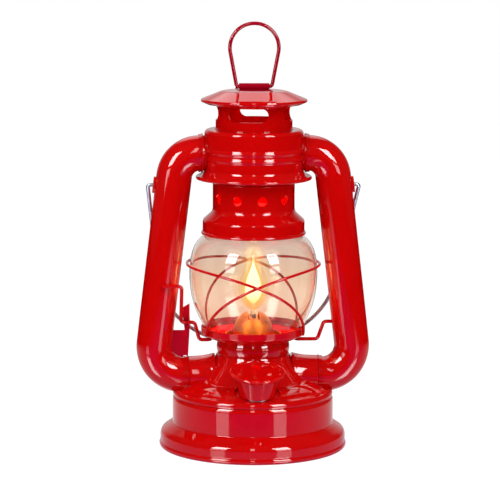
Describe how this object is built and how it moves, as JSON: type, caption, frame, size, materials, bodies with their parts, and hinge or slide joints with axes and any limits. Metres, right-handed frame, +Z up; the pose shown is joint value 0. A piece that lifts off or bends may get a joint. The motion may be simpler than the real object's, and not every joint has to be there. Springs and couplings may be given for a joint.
{
  "type": "hurricane lantern",
  "caption": "Tubular-frame oil lantern with a glass globe, lift lever, sprung chimney, wick burner, screw filler cap, lift ring and wire bail.",
  "frame": {"origin": "centre of the foot's resting circle, on the surface that the lantern stands on", "axes": "+Z up along the lantern's axis, -Y the front with the filler cap, -X the side with the lift lever's handle"},
  "size_m": [0.1126, 0.0904, 0.2047],
  "materials": {
    "red_enamel": "gloss red enamel on pressed steel",
    "zinc_sheet": "bare zinc-plated sheet",
    "zinc_wire": "bare zinc-plated wire",
    "clear_glass": "clear pressed glass",
    "burner_brass": "satin brass",
    "wick_cotton": "woven cotton",
    "gasket_rubber": "matt black rubber"
  },
  "bodies": {
    "frame": {"tank_bowl": "red_enamel", "tank_floor": "zinc_sheet", "tank_top": "red_enamel", "filler_neck": "zinc_sheet", "air_chamber": "red_enamel", "burner_body": "burner_brass", "wick_tube": "burner_brass", "burner_cone": "burner_brass", "left_tube": "red_enamel", "right_tube": "red_enamel", "tube_collars": "red_enamel", "canopy": "red_enamel", "chimney_spring": "zinc_wire", "bail_ears": "red_enamel", "lift_bracket": "red_enamel"},
    "carriage": {"globe_plate": "red_enamel", "globe": "clear_glass", "left_guard_wire": "red_enamel", "right_guard_wire": "red_enamel"},
    "chimney": {"globe_cap": "red_enamel", "chimney_tube": "red_enamel", "hood": "red_enamel", "hood_strap": "red_enamel"},
    "ring": {"lift_ring": "red_enamel"},
    "lever": {"lift_lever": "red_enamel"},
    "bail": {"bail": "zinc_wire"},
    "cap_seal": {"cap_gasket": "gasket_rubber"},
    "cap": {"filler_cap": "red_enamel"},
    "adjuster": {"wick_shaft": "zinc_wire", "wick_knob": "zinc_sheet"},
    "wick": {"wick": "wick_cotton"}
  },
  "joints": [
    {"name": "bail_swing", "type": "hinge", "parent": "frame", "child": "bail", "pos_m": [0, 0, 0.12695], "axis": [1, 0, 0], "range_deg": [0, 300]},
    {"name": "globe_lift", "type": "slide", "parent": "frame", "child": "carriage", "axis": [0, 0, 1], "range_m": [0, 0.0095], "deforming": ["chimney_spring"]},
    {"name": "lever_turn", "type": "hinge", "parent": "frame", "child": "lever", "pos_m": [0, 0, 0.0603], "axis": [1, 0, 0], "range_deg": [0, 22.9]},
    {"name": "chimney_lift", "type": "slide", "parent": "carriage", "child": "chimney", "axis": [0, 0, 1], "range_m": [0, 0.0075], "stiffness_N_per_m": 200, "springref_m": -0.01, "deforming": ["chimney_spring"]},
    {"name": "ring_fold", "type": "hinge", "parent": "chimney", "child": "ring", "pos_m": [0, 0, 0.17396], "axis": [1, 0, 0], "range_deg": [-85, 85]},
    {"name": "cap_rise", "type": "slide", "parent": "frame", "child": "cap_seal", "axis": [0, -0.2079, 0.9781], "range_m": [0, 0.0076]},
    {"name": "cap_turn", "type": "hinge", "parent": "cap_seal", "child": "cap", "pos_m": [0, -0.0294, 0.0306], "axis": [0, -0.2079, 0.9781], "range_deg": [0, 1080]},
    {"name": "wick_turn", "type": "hinge", "parent": "frame", "child": "adjuster", "pos_m": [0.0034, 0, 0.0457], "axis": [0, 1, 0], "range_deg": [-140, 70]},
    {"name": "wick_slide", "type": "slide", "parent": "frame", "child": "wick", "axis": [0, 0, 1], "range_m": [-0.0061, 0.00305]}
  ],
  "couplings": [
    {"joint": "lever_turn", "follows": "globe_lift", "rad_per_m": 41.888},
    {"joint": "cap_rise", "follows": "cap_turn", "m_per_rad": 0.00039789},
    {"joint": "wick_turn", "follows": "wick_slide", "rad_per_m": 400}
  ]
}
